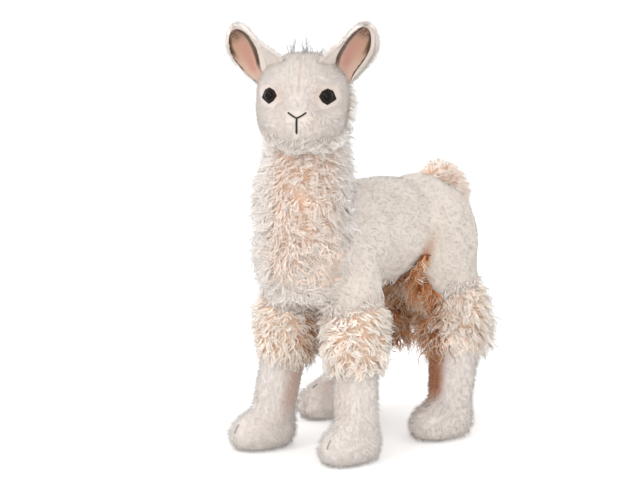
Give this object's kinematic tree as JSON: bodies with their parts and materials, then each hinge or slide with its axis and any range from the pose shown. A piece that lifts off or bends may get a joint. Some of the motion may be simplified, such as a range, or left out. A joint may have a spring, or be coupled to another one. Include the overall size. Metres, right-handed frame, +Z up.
{
  "type": "plush llama",
  "caption": "Standing plush llama with a long curly-furred neck, curly leg bands, upright lined ears and a head turned to one side.",
  "frame": {"origin": "bottom centre of the toy's box, on the floor between its feet", "axes": "+Z up. The body points along -Y, the toy's own left side is +X, and the head is turned towards +X"},
  "size_m": [0.1894, 0.3398, 0.4139],
  "materials": {
    "short_plush": "short cream plush pile",
    "curly_plush": "long curly pile, cream tips over tan roots",
    "ear_lining": "dusty pink short pile with dark brown airbrushed edges",
    "black_plastic": "glossy black eye",
    "brown_suede": "dark brown matt suede cloth",
    "black_thread": "matt black embroidery thread",
    "grey_thread": "matt grey thread",
    "washer_plastic": "white plastic"
  },
  "bodies": {
    "root": {"front_left_leg": "short_plush", "front_left_leg_fur": "curly_plush", "front_left_toe_stitch": "grey_thread", "front_right_leg": "short_plush", "front_right_leg_fur": "curly_plush", "front_right_toe_stitch": "grey_thread", "hind_left_leg": "short_plush", "hind_left_leg_fur": "curly_plush", "hind_left_toe_stitch": "grey_thread", "hind_right_leg": "short_plush", "hind_right_leg_fur": "curly_plush", "hind_right_toe_stitch": "grey_thread", "hind_left_haunch": "short_plush", "hind_right_haunch": "short_plush", "torso": "short_plush", "tail": "curly_plush", "neck_fur": "curly_plush", "head": "short_plush", "left_ear": "short_plush", "left_ear_lining": "ear_lining", "left_eye": "black_plastic", "left_eye_washer": "washer_plastic", "left_eyelid": "brown_suede", "right_ear": "short_plush", "right_ear_lining": "ear_lining", "right_eye": "black_plastic", "right_eye_washer": "washer_plastic", "right_eyelid": "brown_suede", "nose_stitch": "black_thread", "mouth_stitch": "black_thread"}
  },
  "joints": []
}
